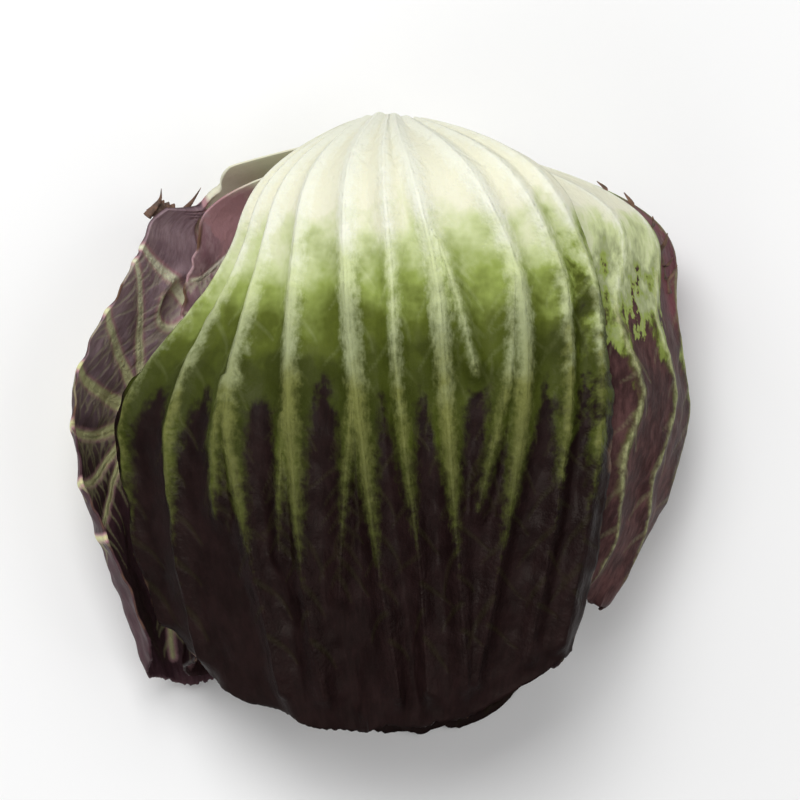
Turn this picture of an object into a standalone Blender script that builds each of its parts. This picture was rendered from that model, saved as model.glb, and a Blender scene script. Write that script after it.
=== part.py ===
"""A head of radicchio, cut from its root and lying on its side on a flat surface.

Metres, +Z up. The stem's cut face looks along +Y, the leaf tips point along -Y, and the
head rests on the plane z = 0 under the middle of its own box.

The head is a stem with leaves nested round it. A leaf's surface is described round the
head's axis: how far a point lies along the axis from the butt, how far out from it, and
its bearing, with 0 at the top and positive to the right. Every leaf starts on the stem,
opens like a cup (the dome at the butt), then runs along the head and may flare out.
Where a value differs across a leaf it is given three times: left edge, middle, right edge.
"""

import math
from dataclasses import dataclass

import bmesh
import bpy
from mathutils import Vector

MM = 0.001

# Driving dimensions
AXIS_HEIGHT = 34 * MM  # the head's axis above the surface it lies on
STEM_RADIUS = 11.5 * MM  # at the cut face
STEM_TIP_RADIUS = 4.5 * MM
STEM_LENGTH = 40 * MM
CUT_FACE_DEPTH = 0.8 * MM  # how far the cut face lies inside the ring of leaf bases
STEM_GAP = 0.5 * MM  # between the stem and the leaf bases
DOME_SHARE = 0.27  # the share of a leaf's length that lies in its dome
DOME_ROUNDNESS = 2.5  # 1 makes the butt a cone, and more makes it fuller
LAMINA = 1.1 * MM  # thickness of the blade
RIB = 2.6 * MM  # how much thicker the middle of the leaf's foot is
RIB_HALF_WIDTH = 0.45  # of the leaf's half width
FLOOR_BLEND = 6.0  # millimetres over which a leaf bends to meet the surface
HEART_LEAVES = 10
GOLDEN_ANGLE = 137.5  # degrees from one heart leaf to the next


@dataclass
class Leaf:
    """One leaf. Lengths in millimetres, bearings in degrees; shares have no unit."""

    name: str
    material: str
    bearing: float  # of the leaf's middle
    spread: float  # half the angle that the blade covers
    foot_spread: float  # the same at the stem
    attach: float  # along the axis, where the foot leaves the stem
    dome: float  # length of the dome along the axis
    belly: tuple  # distance from the axis at the end of the dome
    flare: tuple  # how far the blade then swings out
    tuck: tuple  # how far the tip is drawn back in
    length: tuple  # along the axis to the tip
    flare_start: float = 0.0  # share of the blade, past the dome, where the flare begins
    flare_end: float = 0.5
    squareness: float = 3.0  # how far the tip keeps its full length towards the edges
    wave: float = 1.0  # height of the frill along the edge
    waves: float = 3.0  # frills across the leaf
    floor: float = 6.0  # the leaf's lowest clearance over the surface
    rows: int = 12
    columns: int = 14


OUTER_LEAVES = (
    Leaf("top_leaf", "green_leaf", bearing=-14, spread=74, foot_spread=46, attach=0.4, dome=29,
         belly=(41, 40, 58), flare=(33, 1, 6), tuck=(19, 14, 13), length=(132, 156, 136),
         flare_start=-0.02, flare_end=0.46, wave=1.2, waves=5, rows=18, columns=22),
    Leaf("right_leaf", "green_leaf", bearing=80, spread=46, foot_spread=28, attach=5.0, dome=30,
         belly=(38, 65, 77), flare=(0, 6, 4), tuck=(4, 22, 28), length=(110, 124, 104),
         wave=1.2, waves=4, floor=3.4, rows=14, columns=16),
    Leaf("under_leaf", "green_leaf", bearing=178, spread=46, foot_spread=34, attach=0.6, dome=20,
         belly=(52, 42, 52), flare=(12, 2, 12), tuck=(4, 2, 4), length=(128, 154, 132),
         wave=0.3, floor=0.45, rows=14, columns=16),
    Leaf("left_leaf", "red_leaf", bearing=-118, spread=32, foot_spread=18, attach=0.8, dome=24,
         belly=(50, 60, 67), flare=(12, 18, 19), tuck=(4, 16, 26), length=(116, 142, 130),
         wave=1.0, waves=4, floor=3.4, rows=14, columns=16),
    Leaf("left_inner_leaf", "red_leaf", bearing=-124, spread=32, foot_spread=22, attach=4.4,
         dome=21, belly=(38, 42, 51), flare=(2, 4, 4), tuck=(0, 2, 6), length=(74, 90, 66),
         wave=0.8, waves=3, floor=6.0, rows=10, columns=10),
    Leaf("lower_left_leaf", "red_leaf", bearing=-112, spread=44, foot_spread=34, attach=7.8,
         dome=22, belly=(34, 34, 34), flare=(2, 22, 2), tuck=(0, 0, 0), length=(118, 139, 124),
         flare_start=0.42, flare_end=0.95, wave=1.0, waves=4, floor=8.4),
    Leaf("lower_right_leaf", "red_leaf", bearing=110, spread=46, foot_spread=34, attach=8.6,
         dome=22, belly=(34, 34, 34), flare=(2, 8, 1), tuck=(0, 0, 1), length=(118, 138, 118),
         flare_start=0.40, flare_end=0.95, wave=1.0, waves=4, floor=7.0),
    Leaf("front_leaf", "red_leaf", bearing=4, spread=56, foot_spread=38, attach=7.0, dome=28,
         belly=(35, 35, 33.5), flare=(0, 0, 0), tuck=(11, 10, 9), length=(130, 151, 128),
         wave=0.8, waves=4),
)


def heart_leaves():
    """The inner leaves, from the outside in, each set a golden angle round from the last."""
    leaves = []
    for number in range(HEART_LEAVES):
        depth = number / (HEART_LEAVES - 1)
        belly = 30 - 20 * depth
        length = 142 - 34 * depth
        leaves.append(
            Leaf(
                name=f"heart_leaf_{number + 1}",
                material="red_leaf",
                bearing=(40 + number * GOLDEN_ANGLE) % 360,
                spread=80 - 6 * depth,
                foot_spread=44,
                attach=12 + 17.5 * depth,
                dome=22 - 12 * depth,
                belly=(belly, belly, belly),
                flare=(0, 0, 0),
                tuck=(8 - 4 * depth, 12 - 5 * depth, 8 - 4 * depth),
                length=(length - 24, length, length - 24),
                wave=0.4,
                floor=10 + 1.3 * number,
                rows=10,
                columns=9,
            )
        )
    return leaves


def smooth_step(low, high, value):
    share = min(max((value - low) / (high - low), 0.0), 1.0)
    return share * share * (3 - 2 * share)


def across(values, side):
    """The value at a place across the leaf, on the parabola through its three values."""
    left, middle, right = values
    return middle + (right - left) / 2 * side + ((left + right) / 2 - middle) * side**2


def tip_length(leaf, side):
    left, middle, right = leaf.length
    edge = left if side < 0 else right
    return middle + (edge - middle) * abs(side) ** leaf.squareness


def raised(height, floor):
    """The height of a point once the leaf has been bent to lie on its own floor."""
    lifted = height - floor
    if lifted > FLOOR_BLEND:
        return height
    return floor + max(lifted + FLOOR_BLEND, 0) ** 2 / (4 * FLOOR_BLEND)


def stem_radius(along):
    """The stem's radius at a distance along the axis from the leaf bases."""
    share = (along - CUT_FACE_DEPTH) / STEM_LENGTH
    return STEM_RADIUS + (STEM_TIP_RADIUS - STEM_RADIUS) * share


def leaf_point(leaf, share, side):
    """A point of the leaf's middle surface: share runs 0 at the foot to 1 at the tip, and
    side runs -1 at the left edge to 1 at the right."""
    foot_radius = (stem_radius(leaf.attach * MM) + STEM_GAP + (LAMINA + RIB) / 2) / MM
    belly = across(leaf.belly, side)
    body = (share - DOME_SHARE) / (1 - DOME_SHARE)
    if body < 0:
        opened = 1 - math.cos(share / DOME_SHARE * math.pi / 2)
        along = leaf.attach + leaf.dome * opened
        out = belly - (belly - foot_radius) * (1 - opened) ** DOME_ROUNDNESS
    else:
        shoulder = leaf.attach + leaf.dome
        along = shoulder + (tip_length(leaf, side) - shoulder) * body
        out = belly - across(leaf.tuck, side) * body**2.5
    out += across(leaf.flare, side) * smooth_step(leaf.flare_start, leaf.flare_end, body)
    rim = max(abs(side), share) ** 4 * smooth_step(0.2, 0.6, share)
    out += leaf.wave * rim * math.sin(leaf.waves * math.pi * side + 7 * share)
    spread = leaf.foot_spread + (leaf.spread - leaf.foot_spread) * smooth_step(0.05, 0.40, share)
    bearing = math.radians(leaf.bearing + side * spread)
    height = raised(AXIS_HEIGHT / MM + out * math.cos(bearing), leaf.floor)
    return Vector((out * math.sin(bearing), -along, height)) * MM


def leaf_thickness(share, side):
    rib = math.exp(-((side / RIB_HALF_WIDTH) ** 2)) * (1 - share) ** 2
    return LAMINA + RIB * rib


def make_leaf(leaf):
    """A closed leaf: a grid laid on the middle surface, then thickened to both sides."""
    bm = bmesh.new()
    half_of = bm.verts.layers.float.new("half_thickness")
    facing_of = bm.verts.layers.float_vector.new("facing")
    bmesh.ops.create_grid(bm, x_segments=leaf.columns, y_segments=leaf.rows, size=1)
    for vert in bm.verts:
        share, side = (vert.co.y + 1) / 2, vert.co.x
        vert[half_of] = leaf_thickness(share, side) / 2
        vert.co = leaf_point(leaf, share, side)
    bm.normal_update()
    for vert in bm.verts:
        vert[facing_of] = vert.normal
    one_side = bm.verts[:]
    extruded = bmesh.ops.extrude_face_region(bm, geom=bm.faces[:], use_keep_orig=True)
    other_side = [item for item in extruded["geom"] if isinstance(item, bmesh.types.BMVert)]
    for verts, way in ((one_side, -1), (other_side, 1)):
        for vert in verts:
            vert.co += way * vert[half_of] * vert[facing_of]
            vert.co.z = max(vert.co.z, 0.0)
    bmesh.ops.recalc_face_normals(bm, faces=bm.faces)
    return finish_mesh(bm, leaf.name, leaf.material)


def make_stem():
    """The stem: a tapering stub with a flat cut face, which looks along +Y."""
    bm = bmesh.new()
    bmesh.ops.create_cone(
        bm, cap_ends=True, segments=24, radius1=STEM_RADIUS, radius2=STEM_TIP_RADIUS,
        depth=STEM_LENGTH,
    )
    turn = Vector((0, -1, 0)).to_track_quat("Z", "Y").to_matrix()
    bmesh.ops.rotate(bm, cent=(0, 0, 0), matrix=turn, verts=bm.verts)
    centre = Vector((0, -CUT_FACE_DEPTH - STEM_LENGTH / 2, AXIS_HEIGHT))
    bmesh.ops.translate(bm, vec=centre, verts=bm.verts)
    return finish_mesh(bm, "stem", "cut_stem")


def finish_mesh(bm, name, material):
    mesh = bpy.data.meshes.new(name)
    bm.to_mesh(mesh)
    bm.free()
    mesh.shade_smooth()
    mesh.set_sharp_from_angle(angle=math.radians(50))
    mesh.materials.append(bpy.data.materials[material])
    made = bpy.data.objects.new(name, mesh)
    bpy.context.scene.collection.objects.link(made)
    return made


def make_material(name, colour, roughness):
    material = bpy.data.materials.new(name)
    material.use_nodes = True
    shader = material.node_tree.nodes["Principled BSDF"]
    shader.inputs["Base Color"].default_value = (*colour, 1)
    shader.inputs["Roughness"].default_value = roughness


def settle_on_origin(pieces):
    """Moves the head so that its box stands on the origin, centred."""
    corners = [vert.co for piece in pieces for vert in piece.data.vertices]
    low = Vector(min(corner[axis] for corner in corners) for axis in range(3))
    high = Vector(max(corner[axis] for corner in corners) for axis in range(3))
    shift = Vector((-(low.x + high.x) / 2, -(low.y + high.y) / 2, -low.z))
    for piece in pieces:
        for vert in piece.data.vertices:
            vert.co += shift


def main():
    for old in list(bpy.data.objects):
        bpy.data.objects.remove(old)
    make_material("green_leaf", (0.12, 0.14, 0.04), 0.45)
    make_material("red_leaf", (0.10, 0.02, 0.04), 0.45)
    make_material("cut_stem", (0.62, 0.52, 0.34), 0.7)
    pieces = [make_stem()]
    for leaf in [*OUTER_LEAVES, *heart_leaves()]:
        pieces.append(make_leaf(leaf))
    settle_on_origin(pieces)


main()
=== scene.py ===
"""A head of radicchio, cut from its root and lying on its side, ready to look at.

The head is a cut stem with leaves nested round it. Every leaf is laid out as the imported
model lays it: how far along the head's axis from the butt, how far out from the axis, and
at which bearing, with 0 at the top and positive to the right. Here each leaf also gets its
ribs and veins, the pleats that they raise, a blistered blade and a torn, frilled edge.
Lengths inside the leaf formulas are millimetres, and meshes are metres.
"""

import math
import random
from dataclasses import dataclass

import bmesh
import bpy
import numpy as np
from bpy.props import FloatProperty, FloatVectorProperty, PointerProperty
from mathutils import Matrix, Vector, noise


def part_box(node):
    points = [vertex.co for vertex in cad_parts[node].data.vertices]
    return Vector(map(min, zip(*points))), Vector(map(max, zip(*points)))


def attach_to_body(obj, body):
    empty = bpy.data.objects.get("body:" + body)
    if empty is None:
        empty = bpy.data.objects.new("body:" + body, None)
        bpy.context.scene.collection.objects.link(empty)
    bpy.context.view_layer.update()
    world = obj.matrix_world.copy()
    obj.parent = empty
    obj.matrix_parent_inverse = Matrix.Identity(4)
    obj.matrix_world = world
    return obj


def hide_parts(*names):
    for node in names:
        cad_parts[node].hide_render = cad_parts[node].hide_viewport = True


bl_info = {
    "name": "Radicchio Head",
    "version": (1, 0, 0),
    "blender": (4, 5, 0),
    "location": "View3D > Sidebar > Radicchio",
    "description": "Builds a head of radicchio, leaf by leaf, round its cut stem",
    "category": "Add Mesh",
}

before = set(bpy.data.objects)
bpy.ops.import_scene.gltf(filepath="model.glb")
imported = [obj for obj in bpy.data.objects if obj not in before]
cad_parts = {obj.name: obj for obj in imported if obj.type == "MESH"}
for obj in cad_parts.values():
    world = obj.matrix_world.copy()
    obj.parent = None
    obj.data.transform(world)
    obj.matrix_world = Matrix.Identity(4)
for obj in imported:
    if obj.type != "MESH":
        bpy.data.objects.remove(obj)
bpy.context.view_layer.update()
STEM_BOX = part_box("stem")

MM = 0.001
CUT_FACE_DEPTH = 0.8  # how far the cut face lies inside the ring of leaf bases
STEM_LOW, STEM_HIGH = STEM_BOX
AXIS_X = (STEM_LOW.x + STEM_HIGH.x) / 2 / MM
AXIS_HEIGHT = (STEM_LOW.z + STEM_HIGH.z) / 2 / MM
BUTT_Y = STEM_HIGH.y / MM + CUT_FACE_DEPTH
STEM_RADIUS = (STEM_HIGH.x - STEM_LOW.x) / 2 / MM
STEM_LENGTH = (STEM_HIGH.y - STEM_LOW.y) / MM
STEM_TIP_RADIUS = 4.5
STEM_GAP = 0.5  # between the stem and the leaf bases
DOME_SHARE = 0.27  # the share of a leaf's length that lies in its dome
DOME_ROUNDNESS = 2.5  # 1 makes the butt a cone, and more makes it fuller
BLADE = 1.1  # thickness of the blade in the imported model
FOOT_RIB = 2.6  # how much thicker the middle of the leaf's foot is
FOOT_RIB_HALF_WIDTH = 0.45  # of the leaf's half width
FLOOR_BLEND = 6.0  # millimetres over which a leaf bends to meet the surface
HEART_LEAVES = 10
GOLDEN_ANGLE = 137.5  # degrees from one heart leaf to the next
FAR = 20.0  # millimetres from a vein past which its distance no longer matters
RIB_STRETCHES = 24  # short straight stretches in each rib
SPAN = 4.0  # the greatest ripeness that the colour scales reach
GREEN_WIDTH = 18.0  # millimetres of green along a rib for each unit of its width scale
GREEN_INSET = 4.0  # how many of them lie inside the rib's edge
ROOM_LIGHT = 0.24  # strength of the light that comes from all round
CAMERA_ELEVATION = 82  # degrees above the surface
CAMERA_TARGET = (0.0051, 0.0081, 0.035)  # metres
VIEW_WIDTH = 0.2026  # metres that the view takes in at the target
PLEAT_WIDTH = 3.4  # millimetres from a rib's middle over which it lifts the blade
RIB_ROUNDNESS = 1.9  # millimetres from a rib's middle over which its back is rounded
RIB_RISE = 0.55  # how far a rib's back stands out, as a share of the leaf's pleat
SHRED_ROOT = 0.02  # share of the leaf over which a dry shred is rooted in it
SHRED_FLATNESS = 0.4  # a dry shred's thickness as a share of its width
RIB_START = 0.02  # share at which a rib leaves the foot
RIB_END = 0.94  # share at which it fades out


@dataclass
class Leaf:
    """One leaf's shape, growth and colouring. Lengths in millimetres, bearings in degrees.
    Values in threes are for the left edge, the middle and the right edge."""

    name: str
    look: str  # the material
    slot: str  # the record's material slot
    bearing: float  # of the leaf's middle
    spread: float  # half the angle that the blade covers
    foot_spread: float  # the same at the stem
    attach: float  # along the axis, where the foot leaves the stem
    dome: float  # length of the dome along the axis
    belly: tuple  # distance from the axis at the end of the dome
    flare: tuple  # how far the blade then swings out
    tuck: tuple  # how far the tip is drawn back in
    length: tuple  # along the axis to the tip
    flare_start: float = 0.0  # share of the blade, past the dome, where the flare begins
    flare_end: float = 0.5
    squareness: float = 3.0  # how far the tip keeps its full length towards the edges
    wave: float = 1.0  # height of the frill along the edge
    waves: float = 3.0  # frills across the leaf
    floor: float = 6.0  # the leaf's lowest clearance over the surface
    rows: int = 80
    columns: int = 70
    turn: tuple = (40, 40, 40)  # along the axis, where the blade turns from green to plum
    ribs: tuple = ()  # each a half width, then (share, side) points along it
    pleat: float = 1.0  # height of the fold that a rib raises
    blister: float = 1.0  # how strongly the blade is blistered
    torn: float = 1.0  # how ragged the edge is
    notch: tuple = ()  # (share, side) points that the right edge is cut back to
    mottle: tuple = (0, 0)  # plum islands in the green: everywhere, and near the right edge
    seed: int = 1


def smooth_step(low, high, value):
    """Rises from 0 to 1 between low and high, or falls if low is the greater."""
    share = np.clip((value - low) / (high - low), 0.0, 1.0)
    return share * share * (3 - 2 * share)


def across(values, side):
    """The value at a place across the leaf, on the parabola through its three values."""
    left, middle, right = values
    return middle + (right - left) / 2 * side + ((left + right) / 2 - middle) * side**2


def rib(half_width, foot, belly, tip):
    """A rib that runs up its leaf, given by its sides at the foot, halfway and at the tip."""
    halfway = (RIB_START + RIB_END) / 2
    return half_width, ((RIB_START, foot), (halfway, belly), (RIB_END, tip))


def branch(half_width, main, start, end, parting):
    """A weaker rib that leaves a main one at start and has parted from it by end."""
    shares, sides = zip(*main[1])
    line = []
    for number in range(3):
        share = start + (end - start) * number / 2
        line.append((share, float(np.interp(share, shares, sides)) + parting * number / 2))
    return half_width, tuple(line)


def swaying(half_width, foot, tip, sway, sways=3):
    """A thin rib that sways evenly from side to side on its way up the leaf."""
    line = []
    for number in range(4 * sways + 1):
        t = number / (4 * sways)
        side = foot + (tip - foot) * t + sway * math.sin(2 * math.pi * sways * t)
        line.append((RIB_START + (RIB_END - RIB_START) * t, side))
    return half_width, tuple(line)


def feather(pairs, width, reach=0.30, start=0.16, end=0.80):
    """A midrib with side ribs leaving it left and right by turns, out to the leaf's edge."""
    ribs = [(width, ((0.0, 0.0), (0.3, 0.02), (0.6, -0.02), (0.96, 0.03)))]
    for number in range(2 * pairs):
        share = start + (end - start) * number / (2 * pairs - 1)
        way = -1 if number % 2 else 1
        bend = ((share, 0.0), (share + reach * 0.35, way * 0.36),
                (share + reach * 0.75, way * 0.70), (share + reach * 1.05, way * 0.95))
        ribs.append((width * 0.34, tuple((min(along, 0.99), side) for along, side in bend)))
    return tuple(ribs)


TOP_MAIN_RIBS = (
    rib(0.7, -0.80, -0.90, -0.98),
    rib(1.7, -0.70, -0.75, -0.80),
    rib(2.4, -0.55, -0.55, -0.45),
    rib(2.6, -0.35, -0.30, -0.25),
    rib(2.8, -0.05, 0.00, 0.20),
    rib(1.3, 0.20, 0.20, 0.40),
    rib(2.6, 0.30, 0.40, 0.55),
    rib(2.7, 0.55, 0.70, 0.60),
    rib(1.5, 0.75, 0.85, 0.80),
    rib(1.0, 0.90, 0.95, 0.90),
)

TOP_RIBS = (
    *TOP_MAIN_RIBS,
    branch(0.8, TOP_MAIN_RIBS[2], start=0.45, end=0.70, parting=-0.10),
    branch(0.7, TOP_MAIN_RIBS[3], start=0.50, end=0.75, parting=-0.10),
    branch(0.9, TOP_MAIN_RIBS[4], start=0.50, end=0.80, parting=-0.25),
    branch(0.8, TOP_MAIN_RIBS[6], start=0.25, end=0.50, parting=0.12),
    branch(1.0, TOP_MAIN_RIBS[7], start=0.35, end=0.70, parting=-0.10),
)

RIGHT_RIB_COUNT = 6
RIGHT_RIBS = tuple(
    swaying(0.85, foot=-0.90 + 0.28 * number, tip=-0.75 + 0.28 * number, sway=-0.05)
    for number in range(RIGHT_RIB_COUNT)
)

# The left leaf: places on it are (share, side)
VEIN_ROOT = (0.54, 0.0)  # its veins fan out from here, under the covering leaf
FAN_WIDTHS = (1.6, 1.8, 2.2, 1.8, 1.4, 1.2)  # half widths of the fan's veins
HOLLOW = (0.36, 0.15)  # the middle of its hollow fold
HOLLOW_REACH = (0.035, 0.18)  # the fold's radii along and across the leaf
RING = 1.2  # the half ring of vein on the fold's tip side, as a multiple of those radii
CREASE = (0.20, 0.21)  # a place on the crease, past which the blade is plum
CREASE_LEAN = -2.3  # how much side the crease loses per unit of share


def left_ribs():
    """Veins that fan out to the left leaf's edge, one that crosses nearer the foot, the half
    ring round the hollow fold, and two that run on to the tip."""
    ribs = []
    for number, half_width in enumerate(FAN_WIDTHS):
        edge = 0.32 + 0.10 * number
        middle = (VEIN_ROOT[0] + 2 * edge) / 3
        ribs.append((half_width, (VEIN_ROOT, (middle, 0.5), (edge, 0.98))))
    ribs.append((1.8, ((0.38, -0.2), (0.33, 0.3), (0.30, 0.9))))
    ring = []
    for degrees in range(0, 181, 30):
        angle = math.radians(degrees)
        ring.append((HOLLOW[0] + RING * HOLLOW_REACH[0] * math.sin(angle),
                     HOLLOW[1] + RING * HOLLOW_REACH[1] * math.cos(angle)))
    ribs.append((1.2, tuple(ring)))
    ribs.append((1.2, (VEIN_ROOT, (0.75, -0.1), (0.94, 0.0))))
    ribs.append((1.2, ((0.40, -0.3), (0.65, -0.55), (0.94, -0.65))))
    return tuple(ribs)


# The left leaf's upper edge is torn away between its pale lip and its plum blade
NOTCH_LIP = 0.13  # share where the lip ends
NOTCH_BLADE = 0.20  # share where the plum blade starts
NOTCH_DEPTH = 0.30  # side that the tear reaches
NOTCH_CORNER = 0.78  # side of the blade's outer corner
LEFT_NOTCH = ((0.0, 1.0), (NOTCH_LIP, 1.0), (NOTCH_LIP + 0.03, NOTCH_DEPTH),
              (NOTCH_BLADE - 0.01, NOTCH_DEPTH), (NOTCH_BLADE + 0.005, NOTCH_CORNER),
              (0.36, 1.0), (1.0, 1.0))

OUTER_LEAVES = (
    Leaf("top_leaf", "green_blade", "green_leaf", bearing=-14, spread=74, foot_spread=46,
         attach=0.4, dome=29, belly=(41, 40, 58), flare=(33, 1, 6), tuck=(19, 14, 13),
         length=(132, 156, 136), flare_start=-0.02, flare_end=0.46, wave=1.2, waves=5,
         rows=200, columns=170, turn=(62, 65, 60), ribs=TOP_RIBS, pleat=2.2, blister=1.2,
         mottle=(0, 1), seed=11),
    Leaf("right_leaf", "mottled_blade", "green_leaf", bearing=80, spread=46, foot_spread=28,
         attach=5.0, dome=30, belly=(38, 65, 77), flare=(0, 6, 4), tuck=(4, 22, 28),
         length=(110, 124, 104), wave=1.2, waves=4, floor=3.4, rows=150, columns=120,
         turn=(60, 56, 52), ribs=RIGHT_RIBS, pleat=0.9, torn=1.6, mottle=(1, 0), seed=12),
    Leaf("under_leaf", "green_blade", "green_leaf", bearing=178, spread=46, foot_spread=34,
         attach=0.6, dome=20, belly=(52, 42, 52), flare=(12, 2, 12), tuck=(4, 2, 4),
         length=(128, 154, 132), wave=0.3, floor=0.45, rows=90, columns=80,
         turn=(62, 70, 62), ribs=feather(5, 2.6), pleat=0.5, blister=0.3, seed=13),
    Leaf("left_leaf", "plum_blade", "red_leaf", bearing=-118, spread=32, foot_spread=18,
         attach=0.8, dome=24, belly=(50, 60, 67), flare=(12, 18, 19), tuck=(4, 16, 26),
         length=(116, 142, 130), wave=1.0, waves=4, floor=3.4, rows=190, columns=120,
         turn=(46, 36, 32), ribs=left_ribs(), pleat=0.8, torn=1.3, notch=LEFT_NOTCH, seed=14),
    Leaf("left_inner_leaf", "rosy_blade", "red_leaf", bearing=-124, spread=32, foot_spread=22,
         attach=4.4, dome=21, belly=(38, 42, 51), flare=(2, 4, 4), tuck=(0, 2, 6),
         length=(74, 90, 66), wave=0.8, waves=3, floor=6.0, rows=90, columns=80,
         turn=(26, 24, 22), ribs=feather(5, 1.4), pleat=0.5, seed=15),
    Leaf("lower_left_leaf", "dark_blade", "red_leaf", bearing=-112, spread=44, foot_spread=34,
         attach=7.8, dome=22, belly=(34, 34, 34), flare=(2, 22, 2), tuck=(0, 0, 0),
         length=(118, 139, 124), flare_start=0.42, flare_end=0.95, wave=1.0, waves=4,
         floor=8.4, rows=110, columns=90, turn=(34, 34, 34), ribs=feather(6, 2.0), pleat=0.8,
         seed=16),
    Leaf("lower_right_leaf", "dark_blade", "red_leaf", bearing=110, spread=46, foot_spread=34,
         attach=8.6, dome=22, belly=(34, 34, 34), flare=(2, 8, 1), tuck=(0, 0, 1),
         length=(118, 138, 118), flare_start=0.40, flare_end=0.95, wave=1.0, waves=4,
         floor=7.0, rows=110, columns=90, turn=(34, 34, 34), ribs=feather(6, 2.0), pleat=0.8,
         seed=17),
    Leaf("front_leaf", "dark_blade", "red_leaf", bearing=4, spread=56, foot_spread=38,
         attach=7.0, dome=28, belly=(35, 35, 33.5), flare=(0, 0, 0), tuck=(11, 10, 9),
         length=(130, 151, 128), wave=0.8, waves=4, rows=110, columns=90, turn=(34, 34, 34),
         ribs=feather(6, 2.2), pleat=0.6, blister=0.7, seed=18),
)


@dataclass
class Shred:
    """A dry strip that stands on a torn edge. Lengths in millimetres."""

    leaf: str
    share: float
    side: float
    onward: float  # how far it runs on towards the butt
    outward: float
    rightward: float
    width: float


def withered_tips():
    """Two horns at the notch's corners with small shreds between them, and a row of shreds
    along the right leaf's upper edge."""
    tips = [Shred("left_leaf", NOTCH_BLADE + 0.015, NOTCH_CORNER, 6.0, 0.5, -1.8, 1.2),
            Shred("left_leaf", NOTCH_BLADE, NOTCH_DEPTH + 0.04, 6.5, 0.5, -0.8, 1.0)]
    for number in range(3):
        side = 0.5 + 0.1 * number
        tips.append(Shred("left_leaf", NOTCH_BLADE + 0.01, side, 1.4, 0.6, 0.0, 2.2))
    for number in range(6):
        share, side = 0.175 + 0.027 * number, -0.02 + 0.04 * number
        longer = number % 2
        tips.append(Shred("right_leaf", share, side, 3.0 + 1.5 * longer, 3.2,
                          -1.5 + 0.4 * number, 1.5 + 0.3 * longer))
    return tips


def heart_leaves():
    """The inner leaves, from the outside in, each set a golden angle round from the last."""
    leaves = []
    for number in range(HEART_LEAVES):
        depth = number / (HEART_LEAVES - 1)
        belly = 30 - 20 * depth
        length = 142 - 34 * depth
        leaves.append(Leaf(
            name=f"heart_leaf_{number + 1}",
            look="wine_blade",
            slot="red_leaf",
            bearing=(40 + number * GOLDEN_ANGLE) % 360,
            spread=80 - 6 * depth,
            foot_spread=44,
            attach=12 + 17.5 * depth,
            dome=22 - 12 * depth,
            belly=(belly, belly, belly),
            flare=(0, 0, 0),
            tuck=(8 - 4 * depth, 12 - 5 * depth, 8 - 4 * depth),
            length=(length - 24, length, length - 24),
            wave=0.4,
            floor=10 + 1.3 * number,
            rows=60,
            columns=60,
            turn=(30, 50, 30),
            ribs=feather(5, 2.4 - depth),
            pleat=0.4,
            blister=0.35,
            torn=0.7,
            seed=30 + number,
        ))
    return leaves


def raised(height, floor):
    """The height of a point once the leaf has been bent to lie on its own floor."""
    lifted = height - floor
    bent = floor + np.maximum(lifted + FLOOR_BLEND, 0) ** 2 / (4 * FLOOR_BLEND)
    return np.where(lifted > FLOOR_BLEND, height, bent)


def stem_radius(along):
    share = (along - CUT_FACE_DEPTH) / STEM_LENGTH
    return STEM_RADIUS + (STEM_TIP_RADIUS - STEM_RADIUS) * share


def leaf_surface(leaf, share, side):
    """Points of the leaf's middle surface, in millimetres. Share runs 0 at the foot to 1 at
    the tip, and side -1 at the left edge to 1 at the right."""
    foot_radius = stem_radius(leaf.attach) + STEM_GAP + (BLADE + FOOT_RIB) / 2
    belly = across(leaf.belly, side)
    body = (share - DOME_SHARE) / (1 - DOME_SHARE)
    opened = 1 - np.cos(np.clip(share / DOME_SHARE, 0, 1) * math.pi / 2)
    shoulder = leaf.attach + leaf.dome
    left, middle, right = leaf.length
    tip = middle + (np.where(side < 0, left, right) - middle) * abs(side) ** leaf.squareness
    along = np.where(body < 0, leaf.attach + leaf.dome * opened, shoulder + (tip - shoulder) * body)
    tucked = across(leaf.tuck, side) * np.maximum(body, 0) ** 2.5
    out = belly - (belly - foot_radius) * (1 - opened) ** DOME_ROUNDNESS - tucked
    out += across(leaf.flare, side) * smooth_step(leaf.flare_start, leaf.flare_end, body)
    rim = np.maximum(abs(side), share) ** 4 * smooth_step(0.2, 0.6, share)
    out += leaf.wave * rim * np.sin(leaf.waves * math.pi * side + 7 * share)
    spread = leaf.foot_spread + (leaf.spread - leaf.foot_spread) * smooth_step(0.05, 0.40, share)
    bearing = np.radians(leaf.bearing + side * spread)
    height = raised(AXIS_HEIGHT + out * np.cos(bearing), leaf.floor)
    return np.stack([AXIS_X + out * np.sin(bearing), BUTT_Y - along, height], axis=-1)


def leaf_slopes(leaf, share, side, step=0.004):
    """How the surface runs, in millimetres per unit of share and of side."""
    ahead = leaf_surface(leaf, share + step, side) - leaf_surface(leaf, share - step, side)
    right = leaf_surface(leaf, share, side + step) - leaf_surface(leaf, share, side - step)
    return ahead / (2 * step), right / (2 * step)


def leaf_outward(leaf, share, side):
    ahead, right = leaf_slopes(leaf, share, side)
    facing = np.cross(ahead, right)
    return facing / np.maximum(np.linalg.norm(facing, axis=-1, keepdims=True), 1e-9)


def noise_over(points, size, seed):
    """Smooth noise from about -1 to 1 whose bumps are this many millimetres across."""
    offset = Vector((seed * 7.3, seed * 3.1, seed * 5.7))
    return np.array([noise.noise(Vector(point) / size + offset) for point in points])


def noise_along(values, size, seed):
    """The same along a line of numbers."""
    points = np.stack([values / size, np.full_like(values, seed * 1.7), values * 0], axis=-1)
    return noise_over(points, 1.0, seed)


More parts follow.
